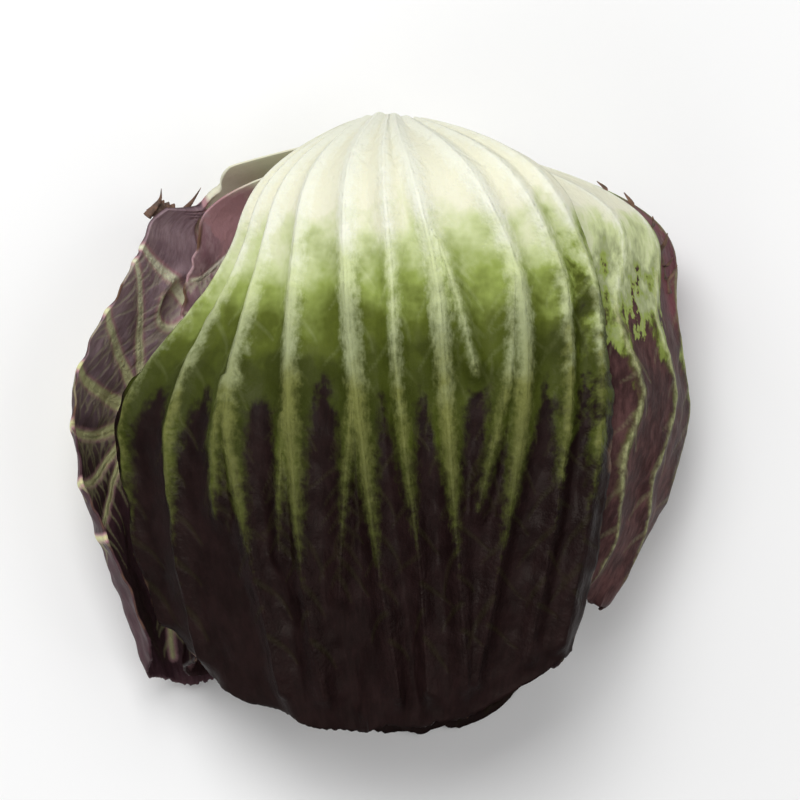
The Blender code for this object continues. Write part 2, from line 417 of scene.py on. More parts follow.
def smooth_line(points, steps):
    """A curve through the points, with this many short stretches between each two."""
    points = np.array(points, float)
    ends = np.vstack([2 * points[0] - points[1], points, 2 * points[-1] - points[-2]])
    made = []
    for before, start, end, after in zip(ends, ends[1:], ends[2:], ends[3:]):
        for number in range(steps):
            t = number / steps
            pull = (end - before) * t + (2 * before - 5 * start + 4 * end - after) * t**2
            made.append(start + 0.5 * (pull + (3 * start - before - 3 * end + after) * t**3))
    return np.array([*made, points[-1]])


def side_veins(leaf, path, chance):
    """Thin veins that leave a rib to left and right by turns and bend towards the tip."""
    veins = []
    way = 1
    for share, side in path[3:-2]:
        way = -way
        ahead, right = leaf_slopes(leaf, np.array([share]), np.array([side]))
        per_share, per_side = np.linalg.norm(ahead), np.linalg.norm(right)
        angle = math.radians(chance.uniform(32, 55))
        length = chance.uniform(5, 13)
        vein = [(share, side)]
        for _ in range(4):
            share += math.cos(angle) * length / 4 / per_share
            side += way * math.sin(angle) * length / 4 / per_side
            angle -= math.radians(chance.uniform(-6, 16))
            vein.append((min(share, 0.99), max(min(side, 0.98), -0.98)))
        veins.append(vein)
    return veins


def distances(points, line, start_width, end_width):
    """Each point's distance from the line's middle and from its edge, in millimetres."""
    middle = np.full(len(points), FAR)
    edge = np.full(len(points), FAR)
    low, high = line.min(axis=0) - FAR, line.max(axis=0) + FAR
    near = np.nonzero(((points > low) & (points < high)).all(axis=1))[0]
    close = points[near]
    widths = np.linspace(start_width, end_width, len(line))
    for start, end, width, next_width in zip(line, line[1:], widths, widths[1:]):
        run = end - start
        t = np.clip((close - start) @ run / max(run @ run, 1e-9), 0, 1)
        off = np.linalg.norm(close - start - t[:, None] * run, axis=1)
        over = off - (width + (next_width - width) * t)
        better = over < edge[near]
        edge[near[better]] = over[better]
        middle[near[better]] = off[better]
    return middle, edge


def vein_fields(leaf, share, side):
    """Distances from the nearest rib's middle and edge, and from the nearest side vein."""
    points = leaf_surface(leaf, share, side)
    chance = random.Random(leaf.seed)
    fields = {"rib_middle": np.full(len(share), FAR), "rib": np.full(len(share), FAR),
              "vein": np.full(len(share), FAR)}
    for width, path in leaf.ribs:
        path = smooth_line(path, RIB_STRETCHES // (len(path) - 1))
        line = leaf_surface(leaf, path[:, 0], path[:, 1])
        middle, edge = distances(points, line, width, width * 0.45)
        nearer = edge < fields["rib"]
        fields["rib"] = np.where(nearer, edge, fields["rib"])
        fields["rib_middle"] = np.where(nearer, middle, fields["rib_middle"])
        for vein in side_veins(leaf, path, chance):
            vein = np.array(vein)
            line = leaf_surface(leaf, vein[:, 0], vein[:, 1])
            fields["vein"] = np.minimum(fields["vein"], distances(points, line, 0.55, 0.15)[1])
    return fields


def torn_edges(leaf, share, side):
    """Draws the margins in by uneven amounts, so that they run ragged and lobed."""
    lobes = 0.5 + 0.5 * noise_along(share * 10 + np.sign(side) * 40, 1.6, leaf.seed)
    teeth = abs(noise_along(share * 10 + np.sign(side) * 40, 0.22, leaf.seed + 1))
    drawn = leaf.torn * (0.030 * lobes + 0.014 * teeth) * smooth_step(0.15, 0.4, share)
    new_side = side * (1 - drawn * abs(side) ** 6)
    if leaf.notch:
        limit = np.interp(share, *zip(*leaf.notch))
        new_side = -1 + (new_side + 1) * (1 + limit) / 2
    lobes = 0.5 + 0.5 * noise_along(side * 5, 1.1, leaf.seed + 2)
    teeth = abs(noise_along(side * 5, 0.16, leaf.seed + 3))
    drawn = leaf.torn * (0.024 * lobes + 0.006 * teeth)
    return share * (1 - drawn * share**8), new_side


def blade_relief(leaf, share, side, margin, fields, sizes):
    """How far the blade's middle layer rises in pleats, blisters and frills."""
    points = leaf_surface(leaf, share, side)
    grown = smooth_step(0.04, 0.30, share)
    fold = np.exp(-((fields["rib_middle"] / PLEAT_WIDTH) ** 2)) * grown
    blister = noise_over(points, 10.0, leaf.seed) * 0.8 + noise_over(points, 4.2, leaf.seed) * 0.5
    blister *= leaf.blister * smooth_step(0.20, 0.55, share)
    frill = noise_along(share * 40 + np.sign(side) * 90, 2.6, leaf.seed + 5)
    frill *= smooth_step(9, 0, margin) * smooth_step(0.15, 0.4, share) * leaf.torn
    relief = leaf.pleat * (fold - 0.35) * grown
    return relief + sizes.blister_height / MM * blister + sizes.frill_height / MM * frill


def left_leaf_fold(share, side):
    """Where the left leaf is folded over, and how far its hollow fold is pressed in."""
    crease = CREASE[1] + CREASE_LEAN * (share - CREASE[0])
    folded = smooth_step(-0.04, 0.03, side - crease) * smooth_step(0.165, 0.20, share)
    hollow = np.hypot((share - HOLLOW[0]) / HOLLOW_REACH[0],
                      (side - HOLLOW[1]) / HOLLOW_REACH[1])
    rim = np.exp(-((hollow - 1.3) / 0.3) ** 2)
    pressed = 2.2 * smooth_step(1.2, 0.5, hollow) - 1.0 * rim
    return folded, pressed - 2.4 * folded * smooth_step(0.48, 0.32, share)


def right_leaf_wine(share, side):
    """How much the right leaf's upper edge is wine red instead of plum."""
    upper = smooth_step(-0.02, 0.22, side) * smooth_step(0.13, 0.20, share)
    return upper * smooth_step(0.46, 0.34, share)


def leaf_fields(leaf, share, side, sizes):
    """Everything that is known of each vertex of the blade's middle layer."""
    share, side = torn_edges(leaf, share, side)
    fields = vein_fields(leaf, share, side)
    points = leaf_surface(leaf, share, side)
    outward = leaf_outward(leaf, share, side)
    half_width = leaf.belly[1] * math.radians(leaf.spread)
    margin = np.minimum((1 - abs(side)) * half_width, (1 - share) * leaf.length[1])
    relief = blade_relief(leaf, share, side, margin, fields, sizes)
    rounded = np.exp(-((fields["rib_middle"] / RIB_ROUNDNESS) ** 2)) * (fields["rib"] < 3)
    foot = np.exp(-((side / FOOT_RIB_HALF_WIDTH) ** 2)) * (1 - share) ** 2
    thickness = sizes.blade_thickness / MM * (1 - 0.45 * smooth_step(4, 0, margin))
    fields["half"] = (thickness + FOOT_RIB * foot) / 2
    fields["ridge"] = RIB_RISE * rounded * leaf.pleat
    fields["margin"] = margin
    fields["mottle"] = leaf.mottle[0] + leaf.mottle[1] * smooth_step(0.74, 0.94, side)
    fields["inside"] = np.ones_like(share)
    fields["wine"] = np.zeros_like(share)
    fields["ripeness"] = (BUTT_Y - points[:, 1]) / across(leaf.turn, side)
    if leaf.name == "left_leaf":
        folded, pressed = left_leaf_fold(share, side)
        fields["ripeness"] += 0.75 * folded
        relief += pressed
    if leaf.name == "right_leaf":
        fields["wine"] = right_leaf_wine(share, side)
        fields["ripeness"] += 1.1 * fields["wine"]
    middle = points + outward * relief[:, None]
    lay = np.stack([side * half_width, share * leaf.length[1], side * 0], axis=-1)
    return fields, {"middle": middle, "outward": outward, "lay": lay}


def store(bm, fields, kind):
    """Writes each field into its own vertex layer of the mesh."""
    for name, values in fields.items():
        layers = bm.verts.layers
        layer = (layers.float if kind == "number" else layers.float_vector).new(name)
        for vert, value in zip(bm.verts, values.tolist()):
            vert[layer] = value


def make_leaf(leaf, sizes):
    """A closed leaf: a grid is given its other side, and both sides are put in place."""
    bm = bmesh.new()
    bmesh.ops.create_grid(bm, x_segments=leaf.columns, y_segments=leaf.rows, size=1)
    flat = np.array([vert.co for vert in bm.verts])
    numbers, vectors = leaf_fields(leaf, (flat[:, 1] + 1) / 2, flat[:, 0], sizes)
    store(bm, numbers, "number")
    store(bm, vectors, "vector")
    inner = bm.verts[:]
    extruded = bmesh.ops.extrude_face_region(bm, geom=bm.faces[:], use_keep_orig=True)
    outer = [item for item in extruded["geom"] if isinstance(item, bmesh.types.BMVert)]
    numbers, vectors = bm.verts.layers.float, bm.verts.layers.float_vector
    middle, outward = vectors["middle"], vectors["outward"]
    half, ridge = numbers["half"], numbers["ridge"]
    for vert in inner:
        vert.co = vert[middle] - vert[outward] * vert[half]
    for vert in outer:
        vert.co = vert[middle] + vert[outward] * (vert[half] + vert[ridge])
        vert[numbers["inside"]] = 0.0
    for vert in bm.verts:
        vert.co *= MM
        vert.co.z = max(vert.co.z, 0.0)
    for name in ("middle", "outward"):
        vectors.remove(vectors[name])
    for name in ("half", "ridge"):
        numbers.remove(numbers[name])
    bmesh.ops.recalc_face_normals(bm, faces=bm.faces)
    piece = finish_piece(bm, leaf.name + "_blade", bpy.data.materials[leaf.look])
    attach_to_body(piece, "root")
    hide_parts(leaf.name)
    return piece


def make_curl(bm, points, width):
    """A dry shred: a flat tapering strip that is drawn out along the points, in millimetres."""
    line = [Vector(point) for point in smooth_line(points, 4)]
    first = (line[1] - line[0]).normalized()
    made = bmesh.ops.create_cone(bm, cap_ends=True, segments=8, radius1=1, radius2=1, depth=0.2)
    verts = made["verts"]
    bmesh.ops.scale(bm, vec=(width, width * SHRED_FLATNESS, 1), verts=verts)
    bmesh.ops.rotate(bm, cent=(0, 0, 0), matrix=first.to_track_quat("Z", "Y").to_matrix(),
                     verts=verts)
    bmesh.ops.translate(bm, vec=line[0], verts=verts)
    faces = {face for vert in verts for face in vert.link_faces}
    cap = max(faces, key=lambda face: (face.calc_center_median() - line[0]).dot(first)
              * (len(face.verts) == 8))
    for number, (before, point) in enumerate(zip(line, line[1:]), start=1):
        grown = bmesh.ops.extrude_face_region(bm, geom=[cap])["geom"]
        cap = next(item for item in grown if isinstance(item, bmesh.types.BMFace))
        ring = [item for item in grown if isinstance(item, bmesh.types.BMVert)]
        bmesh.ops.translate(bm, vec=point - before, verts=ring)
        left = 1 - number / len(line)
        shrink = left / (left + 1 / len(line))
        for vert in ring:
            vert.co = point + (vert.co - point) * shrink


def make_withered_tips():
    """Dry curled shreds on the torn edges of the left and right leaves."""
    bm = bmesh.new()
    for shred in withered_tips():
        leaf = leaf_named(shred.leaf)
        share, side = np.array([shred.share]), np.array([shred.side])
        foot = leaf_surface(leaf, share + SHRED_ROOT, side)[0]
        edge = leaf_surface(leaf, share, side)[0]
        away = leaf_outward(leaf, share, side)[0] * shred.outward
        run = (edge - foot) / np.linalg.norm(edge - foot) * shred.onward
        end = edge + run + away + Vector((shred.rightward, 0, 0))
        make_curl(bm, [foot, edge, edge + run * 0.4 + away * 0.6, end], shred.width)
    for vert in bm.verts:
        vert.co *= MM
    bmesh.ops.recalc_face_normals(bm, faces=bm.faces)
    piece = finish_piece(bm, "withered_tips", make_withered_material(colours()))
    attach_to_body(piece, "root")


def finish_piece(bm, name, material):
    mesh = bpy.data.meshes.new(name)
    bm.to_mesh(mesh)
    bm.free()
    mesh.shade_smooth()
    mesh.materials.append(material)
    piece = bpy.data.objects.new(name, mesh)
    bpy.context.scene.collection.objects.link(piece)
    return piece


# ---------------------------------------------------------------- materials


class Finish:
    """A material under construction, with short names for the nodes that it is made of."""

    def __init__(self, name):
        self.material = bpy.data.materials.get(name) or bpy.data.materials.new(name)
        self.material.use_nodes = True
        self.tree = self.material.node_tree
        self.shader = self.tree.nodes["Principled BSDF"]

    def node(self, kind, **settings):
        made = self.tree.nodes.new(kind)
        for name, value in settings.items():
            setattr(made, name, value)
        return made

    def feed(self, socket, value):
        if isinstance(value, bpy.types.NodeSocket):
            self.tree.links.new(value, socket)
        else:
            socket.default_value = value

    def number(self, name):
        return self.node("ShaderNodeAttribute", attribute_name=name).outputs["Fac"]

    def place(self, name=None):
        """A mesh's own vector field, or its object coordinates."""
        if name:
            return self.node("ShaderNodeAttribute", attribute_name=name).outputs["Vector"]
        return self.node("ShaderNodeTexCoord").outputs["Object"]

    def maths(self, operation, first, second=0.0):
        made = self.node("ShaderNodeMath", operation=operation)
        self.feed(made.inputs[0], first)
        self.feed(made.inputs[1], second)
        return made.outputs[0]

    def stretched(self, place, scale):
        made = self.node("ShaderNodeMapping", vector_type="POINT")
        self.feed(made.inputs["Vector"], place)
        made.inputs["Scale"].default_value = scale
        return made.outputs[0]

    def grain(self, place, scale, detail=3.0, roughness=0.6, twist=0.0):
        made = self.node("ShaderNodeTexNoise")
        self.feed(made.inputs["Vector"], place)
        made.inputs["Scale"].default_value = scale
        made.inputs["Detail"].default_value = detail
        made.inputs["Roughness"].default_value = roughness
        made.inputs["Distortion"].default_value = twist
        return made.outputs["Fac"]

    def between(self, value, low, high, low_value=0.0, high_value=1.0):
        """A soft step from one value to another as the input goes from low to high."""
        made = self.node("ShaderNodeMapRange", interpolation_type="SMOOTHSTEP")
        self.feed(made.inputs["Value"], value)
        made.inputs["From Min"].default_value = min(low, high)
        made.inputs["From Max"].default_value = max(low, high)
        made.inputs["To Min"].default_value = low_value if low < high else high_value
        made.inputs["To Max"].default_value = high_value if low < high else low_value
        return made.outputs["Result"]

    def shades(self, value, stops, span=1.0):
        """A colour that changes as the value goes through the stops."""
        made = self.node("ShaderNodeValToRGB")
        self.feed(made.inputs["Fac"], self.maths("DIVIDE", value, span))
        marks = made.color_ramp.elements
        while len(marks) < len(stops):
            marks.new(0.5)
        for mark, (position, colour) in zip(marks, stops):
            mark.position = position / span
            mark.color = opaque(colour)
        return made.outputs["Color"]

    def levels(self, value, stops, span=1.0):
        """A number that changes as the value goes through the stops."""
        return self.shades(value, [(at, (level, level, level)) for at, level in stops], span)

    def blended(self, share, first, second):
        made = self.node("ShaderNodeMix", data_type="RGBA")
        self.feed(made.inputs["Factor"], share)
        self.feed(made.inputs["A"], first)
        self.feed(made.inputs["B"], second)
        return made.outputs["Result"]

    def bumped(self, height, depth, under=None):
        made = self.node("ShaderNodeBump")
        made.inputs["Distance"].default_value = depth
        self.feed(made.inputs["Height"], height)
        if under is not None:
            self.feed(made.inputs["Normal"], under)
        return made.outputs["Normal"]


def tinted(colour, factor):
    return tuple(min(channel * factor, 1.0) for channel in tuple(colour)[:3])


def opaque(colour):
    return (*tuple(colour)[:3], 1.0)


@dataclass
class Skin:
    """One kind of blade: its plum ground in shade and in light, and how its ribs show on it."""

    kind: str
    ground: tuple
    lit_ground: tuple
    vein_strength: float = 0.15
    feathered: float = 1.0  # how raggedly the green along a rib gives way to plum
    painted_shade: tuple = ()  # painted shade: the darker plum painted on the leaf's outer side and far end


def blade_shades(colours, kind):
    """The blade's and the ribs' colours against ripeness, and how wide the green along a
    rib stays, for one kind of leaf. Ripeness is 1 where the blade turns to plum. A width of
    0.22 ends at the rib's edge, and each further 0.1 is 1.8 mm."""
    cream, pale, vein_cream = colours.cream, colours.pale_green, colours.vein_cream
    green, deep, olive = colours.leaf_green, colours.deep_green, colours.rib_olive
    yellow = colours.vein_yellow
    if kind == "mottled_blade":
        blade = [(0, cream), (0.42, cream), (0.58, pale), (0.78, tinted(pale, 0.55)),
                 (0.92, green), (1.10, deep), (1.3, tinted(deep, 0.6))]
        ribs = [(0, vein_cream), (0.5, vein_cream), (0.75, pale), (1.10, tinted(yellow, 0.60)),
                (2.7, tinted(yellow, 0.55))]
        width = [(0, 1.0), (0.8, 0.9), (1.0, 0.38), (1.2, 0.26), (1.6, 0.235), (2.2, 0.20),
                 (2.7, 0.10)]
    elif kind == "green_blade":
        blade = [(0, cream), (0.40, cream), (0.55, tinted(pale, 0.95)), (0.71, green),
                 (0.86, deep), (1.02, tinted(deep, 0.42)), (1.3, tinted(deep, 0.3))]
        ribs = [(0, vein_cream), (0.45, vein_cream), (0.66, pale), (0.92, tinted(pale, 0.52)),
                (1.15, olive), (1.45, tinted(olive, 0.55)), (1.8, tinted(deep, 0.5))]
        width = [(0, 1.0), (0.86, 1.0), (1.0, 0.74), (1.15, 0.42), (1.35, 0.30), (1.55, 0.21),
                 (1.7, 0.14), (1.85, 0.05), (2.1, 0.0)]
    else:
        blade = [(0, cream), (0.50, cream), (0.66, colours.rose), (1.2, colours.rose)]
        ribs = [(0, vein_cream), (1.2, vein_cream), (2.6, yellow)]
        width = [(0, 1.0), (0.9, 1.0), (1.15, 0.40), (1.35, 0.27), (2.6, 0.26)]
    return blade, ribs, width


class Grains:
    """The noises that a blade's skin is made of."""

    def __init__(self, finish):
        spot = finish.place()
        lay = finish.place("lay")
        self.fibre = finish.grain(finish.stretched(lay, (1.0, 0.28, 1.0)), 0.75, detail=5,
                                  roughness=0.65)
        self.island = finish.grain(finish.stretched(lay, (1.0, 0.45, 1.0)), 0.22, detail=4)
        self.cloud = finish.grain(spot, 38)
        self.patch = finish.grain(spot, 95)
        self.lumps = finish.grain(spot, 480, detail=2)
        self.fine = finish.grain(spot, 900, detail=2)
        self.streak = finish.maths("MULTIPLY", finish.maths("ADD", self.patch, self.fibre), 0.5)


def mottled_ripeness(finish, grains):
    """Ripeness with an uneven edge, and raised in islands where the leaf is mottled."""
    ripe = finish.maths("ADD", finish.number("ripeness"),
                        finish.between(grains.patch, 0.25, 0.75, -0.09, 0.09))
    islands = finish.maths("MULTIPLY", finish.number("mottle"),
                           finish.between(grains.island, 0.35, 0.72, -0.12, 0.40))
    islands = finish.maths("MULTIPLY", islands, finish.between(ripe, 0.35, 0.80))
    return finish.maths("ADD", ripe, islands)


def ragged_rib(finish, grains, feathered):
    """The distance beyond a rib's edge, roughened so that the edge isn't a clean line."""
    fibres = finish.between(grains.fibre, 0.2, 0.8, -0.8 * feathered, 0.8 * feathered)
    lumps = finish.between(grains.lumps, 0.3, 0.7, -0.45 * feathered, 0.45 * feathered)
    return finish.maths("ADD", finish.number("rib"), finish.maths("ADD", fibres, lumps))


def unripe_colour(finish, grains, ripe, stops, skin, colours):
    """The blade between the ribs where it isn't plum, with darker clouds on the green leaf."""
    blade = finish.shades(ripe, stops, SPAN)
    if skin.kind != "green_blade":
        return blade
    darker = finish.maths("MULTIPLY", finish.between(grains.cloud, 0.42, 0.66),
                          finish.levels(ripe, [(0.5, 0.0), (0.72, 0.45), (0.9, 0.65)], SPAN))
    return finish.blended(darker, blade, opaque(tinted(colours.deep_green, 0.75)))


def plum_colour(finish, grains, ripe, skin, colours):
    """The streaked plum between the ribs, the painted shade on the outer side and far end, and the
    wine-red edge.
    """
    streaked = finish.between(grains.streak, 0.38, 0.66)
    plum = finish.blended(streaked, opaque(skin.ground), opaque(skin.lit_ground))
    # Painted shade: the outer side, and the inner side past a ripeness of 2.5, are painted the
    # darker plum.
    if skin.painted_shade:
        shaded = finish.blended(streaked, opaque(skin.painted_shade), opaque(tinted(skin.painted_shade, 1.9)))
        seen = finish.maths("MULTIPLY", finish.number("inside"), finish.between(ripe, 3.4, 2.5))
        plum = finish.blended(seen, shaded, plum)
    if skin.kind == "mottled_blade":
        red = finish.blended(finish.between(grains.streak, 0.36, 0.68), opaque(colours.edge_wine),
                             opaque(colours.lit_edge_wine))
        plum = finish.blended(finish.number("wine"), plum, red)
    return plum


def still_green(finish, grains, ripe, beyond_rib, stops, feathered):
    """1 where the skin is green, along a rib or because it is unripe, and 0 on the plum."""
    reach = finish.maths("MULTIPLY", finish.levels(ripe, stops, SPAN), GREEN_WIDTH)
    reach = finish.maths("SUBTRACT", reach, GREEN_INSET)
    fringe = 1.7 * feathered
    feathering = finish.maths("ADD", finish.between(grains.fibre, 0.2, 0.8, -fringe, fringe),
                              finish.between(grains.patch, 0.25, 0.75, -feathered, feathered))
    over = finish.maths("SUBTRACT", finish.maths("ADD", reach, feathering), beyond_rib)
    along_rib = finish.between(over, -0.4 - 1.2 * feathered, 0.4 + 1.4 * feathered)
    return finish.maths("MAXIMUM", along_rib, finish.between(ripe, 0.92, 0.78))


def worn_rim(finish, grains):
    """1 on the dried rim of a ripe blade."""
    uneven = finish.between(grains.patch, 0.2, 0.8, -1.3, 1.3)
    rim = finish.between(finish.maths("ADD", finish.number("margin"), uneven), 0.9, -0.2)
    return finish.maths("MULTIPLY", rim, finish.between(finish.number("ripeness"), 0.8, 1.2))


def add_relief(finish, grains, vein, feathered):
    """Bump in layers, each over the one before. Depths in metres."""
    groove = finish.between(finish.number("rib_middle"), 0.10, 0.75)
    near_rib = finish.between(finish.number("rib"), 4.5, -0.5, 0.25, 1.0)
    normal = None
    for height, depth in (
        (groove, 0.00018),
        (vein, 0.00010),
        (finish.maths("MULTIPLY", grains.lumps, near_rib), 0.00042),
        (grains.fibre, 0.00005 + 0.00009 * feathered),
        (grains.patch, 0.0005),
        (grains.fine, 0.00006),
    ):
        normal = finish.bumped(height, depth, normal)
    finish.feed(finish.shader.inputs["Normal"], normal)


def add_sheen(finish, grains):
    """A leaf's dull shine, and the little light that it lets through."""
    inputs = finish.shader.inputs
    finish.feed(inputs["Roughness"], finish.between(grains.patch, 0.25, 0.75, 0.38, 0.58))
    inputs["Subsurface Weight"].default_value = 0.05
    inputs["Subsurface Radius"].default_value = (1.0, 0.8, 0.4)
    inputs["Subsurface Scale"].default_value = 0.0010
    inputs["Specular IOR Level"].default_value = 0.08
    inputs["Specular Tint"].default_value = (1.0, 0.90, 0.80, 1.0)


def make_blade_material(skin, colours):
    """A leaf's skin: cream at the butt, then green or rose, then plum between the ribs."""
    finish = Finish(skin.kind)
    grains = Grains(finish)
    blade_stops, rib_stops, width_stops = blade_shades(colours, skin.kind)
    ripe = mottled_ripeness(finish, grains)
    beyond_rib = ragged_rib(finish, grains, skin.feathered)
    unripe = unripe_colour(finish, grains, ripe, blade_stops, skin, colours)
    rib_colour = finish.shades(ripe, rib_stops, SPAN)
    softness = 0.5 + skin.feathered
    on_rib = finish.between(beyond_rib, 0.9 * softness, -1.0 * softness)
    tissue = finish.blended(on_rib, unripe, rib_colour)
    plum = plum_colour(finish, grains, ripe, skin, colours)
    green = still_green(finish, grains, ripe, beyond_rib, width_stops, skin.feathered)
    leaf = finish.blended(green, plum, tissue)
    vein = finish.between(finish.number("vein"), 0.55, -0.3)
    strengths = [(0, 0.10), (0.8, 0.13), (1.2, skin.vein_strength), (3.0, skin.vein_strength)]
    vein_mask = finish.maths("MULTIPLY", vein, finish.levels(ripe, strengths, SPAN))
    leaf = finish.blended(vein_mask, leaf, rib_colour)
    leaf = finish.blended(worn_rim(finish, grains), leaf, opaque(colours.withered))
    finish.feed(finish.shader.inputs["Base Color"], leaf)
    add_relief(finish, grains, vein, skin.feathered)
    add_sheen(finish, grains)
    return finish.material


def make_stem_material(colours):
    """Pale flesh that is browned in patches and along its grain."""
    finish = Finish("cut_stem")
    spot = finish.place()
    grain = finish.grain(finish.stretched(spot, (1.0, 0.2, 1.0)), 900, detail=4)
    patch = finish.grain(spot, 260, detail=4, twist=0.6)
    wood = finish.shades(patch, [(0.2, tinted(colours.cut_stem, 0.55)), (0.5, colours.cut_stem),
                                 (0.8, tinted(colours.cut_stem, 1.2))])
    browned = finish.between(grain, 0.5, 0.75, 0.0, 0.5)
    wood = finish.blended(browned, wood, opaque(colours.withered))
    finish.feed(finish.shader.inputs["Base Color"], wood)
    finish.feed(finish.shader.inputs["Roughness"], finish.between(patch, 0.3, 0.7, 0.55, 0.8))
    finish.feed(finish.shader.inputs["Normal"], finish.bumped(grain, 0.0004))
    return finish.material


def make_withered_material(colours):
    """Dried leaf: red-brown that darkens to nearly black in patches."""
    finish = Finish("withered_leaf")
    patch = finish.grain(finish.place(), 420, detail=4)
    dry = finish.shades(patch, [(0.3, tinted(colours.withered, 0.25)), (0.5, colours.withered),
                                (0.75, tinted(colours.withered, 1.8))])
    finish.feed(finish.shader.inputs["Base Color"], dry)
    finish.feed(finish.shader.inputs["Roughness"], finish.between(patch, 0.3, 0.7, 0.5, 0.8))
    finish.feed(finish.shader.inputs["Normal"], finish.bumped(patch, 0.0004))
    return finish.material


def make_floor_material(colours):
    finish = Finish("pale_floor")
    cloud = finish.grain(finish.place(), 3.0, detail=2)
    shade = finish.shades(cloud, [(0.3, tinted(colours.floor, 0.98)), (0.7, colours.floor)])
    finish.feed(finish.shader.inputs["Base Color"], shade)
    finish.feed(finish.shader.inputs["Roughness"], finish.between(cloud, 0.3, 0.7, 0.6, 0.7))
    return finish.material


# ---------------------------------------------------------------- settings


class RadicchioSizes(bpy.types.PropertyGroup):
    """Sizes of the head's details."""

    blade_thickness: FloatProperty(
        name="Blade thickness", description="Thickness of a leaf away from its ribs",
        default=0.0008, min=0.0003, max=0.002, subtype="DISTANCE", unit="LENGTH")
    blister_height: FloatProperty(
        name="Blister height", description="How far the blade bulges between its veins",
        default=0.0009, min=0.0, max=0.003, subtype="DISTANCE", unit="LENGTH")
    frill_height: FloatProperty(
        name="Frill height", description="How far a leaf's edge ruffles in and out",
        default=0.0016, min=0.0, max=0.004, subtype="DISTANCE", unit="LENGTH")


def colour_property(name, description, default):
    return FloatVectorProperty(name=name, description=description, default=default, size=3,
                               min=0.0, max=1.0, subtype="COLOR")


class RadicchioColours(bpy.types.PropertyGroup):
    """Colours of the leaves, the stem and the floor."""

    cream: colour_property("Cream", "The blade at the butt", (0.78, 0.77, 0.60))
    vein_cream: colour_property("Rib cream", "Ribs at the butt", (0.82, 0.83, 0.70))
    vein_yellow: colour_property("Vein yellow", "Veins on plum blades", (0.70, 0.71, 0.36))
    pale_green: colour_property("Pale green", "Where cream turns green", (0.58, 0.64, 0.34))
    leaf_green: colour_property("Leaf green", "The green of the outer leaves", (0.27, 0.335, 0.080))
    deep_green: colour_property("Deep green", "Green next to the plum", (0.090, 0.112, 0.015))
    rib_olive: colour_property("Rib olive", "Ribs where they run into the plum", (0.16, 0.17, 0.048))
    plum: colour_property("Plum", "The dark of the covering leaf", (0.0080, 0.0036, 0.0036))
    dark_plum: colour_property("Dark plum", "The low leaves in shade", (0.012, 0.005, 0.006))
    lit_dark_plum: colour_property("Lit dark plum", "The same in light", (0.03, 0.012, 0.014))
    spot_plum: colour_property("Spot plum", "The right leaf in shade", (0.036, 0.016, 0.016))
    lit_spot_plum: colour_property("Lit spot plum", "The same in light", (0.110, 0.052, 0.050))
    # Painted light: the left leaf's own greyish plum, made paler to lift the shade in its hollow
    # under the covering leaf.
    open_plum: colour_property("Open plum", "The left leaf in shade", (0.25, 0.165, 0.19))
    lit_open_plum: colour_property("Lit open plum", "The same in light", (0.42, 0.31, 0.34))
    # Painted shade: the darker plum painted on the left leaf's outer side and far end.
    painted_shade_plum: colour_property("Outer plum", "The left leaf's outer side", (0.045, 0.022, 0.027))
    # Painted light: the inner left leaf's own rose, made paler to lift the shadow that the covering
    # leaf casts on it.
    rosy_plum: colour_property("Rosy plum", "The inner left leaf in shade", (0.32, 0.18, 0.21))
    lit_rosy_plum: colour_property("Lit rosy plum", "The same in light", (0.52, 0.36, 0.38))
    edge_wine: colour_property("Edge wine", "The right leaf's torn edge", (0.085, 0.020, 0.028))
    lit_edge_wine: colour_property("Lit edge wine", "The same in light", (0.21, 0.060, 0.072))
    wine: colour_property("Wine", "The red of the heart leaves", (0.10, 0.012, 0.025))
    rose: colour_property("Rose", "Where cream turns wine", (0.46, 0.26, 0.28))
    withered: colour_property("Withered", "Dried edges and the browned cut", (0.13, 0.07, 0.045))
    cut_stem: colour_property("Cut stem", "The flesh of the stem", (0.62, 0.52, 0.34))
    floor: colour_property("Floor", "The surface that the head lies on", (0.90, 0.90, 0.90))


def sizes():
    return bpy.context.scene.radicchio_sizes


def colours():
    return bpy.context.scene.radicchio_colours


def leaf_named(name):
    for leaf in [*OUTER_LEAVES, *heart_leaves()]:
        if leaf.name == name:
            return leaf
    raise KeyError(name)


# ---------------------------------------------------------------- operators


class RadicchioOperator(bpy.types.Operator):
    """Shared by the operators that make leaves."""

    bl_options = {"REGISTER", "UNDO"}
    leaves = ()

    def execute(self, context):
        for name in self.leaves:
            piece = make_leaf(leaf_named(name), sizes())
            if not piece.data.polygons:
                raise RuntimeError(f"{name} has no faces")
        return {"FINISHED"}


class RADICCHIO_OT_finishes(bpy.types.Operator):
    """Make the skins of the leaves and the finish of the stem"""

    bl_idname = "radicchio.finishes"
    bl_label = "Finishes"

    def execute(self, context):
        tones = colours()
        for skin in (
            Skin("green_blade", tones.plum, tinted(tones.plum, 1.8), 0.08),
            Skin("mottled_blade", tones.spot_plum, tones.lit_spot_plum, 0.15, 0.8),
            # The plum blade's last colour is painted shade for its outer side and far end.
            Skin("plum_blade", tones.open_plum, tones.lit_open_plum, 0.3, 0.15, tones.painted_shade_plum),
            Skin("rosy_blade", tones.rosy_plum, tones.lit_rosy_plum, 0.5, 0.3),
            Skin("dark_blade", tones.dark_plum, tones.lit_dark_plum),
            Skin("wine_blade", tones.wine, tinted(tones.wine, 1.7)),
        ):
            make_blade_material(skin, tones)
        make_stem_material(tones)
        return {"FINISHED"}


class RADICCHIO_OT_top_leaf(RadicchioOperator):
    """Make the big green leaf that covers the head"""

    bl_idname = "radicchio.top_leaf"
    bl_label = "Top leaf"
    leaves = ("top_leaf",)


class RADICCHIO_OT_right_leaf(RadicchioOperator):
    """Make the mottled leaf on the right"""

    bl_idname = "radicchio.right_leaf"
    bl_label = "Right leaf"
    leaves = ("right_leaf",)


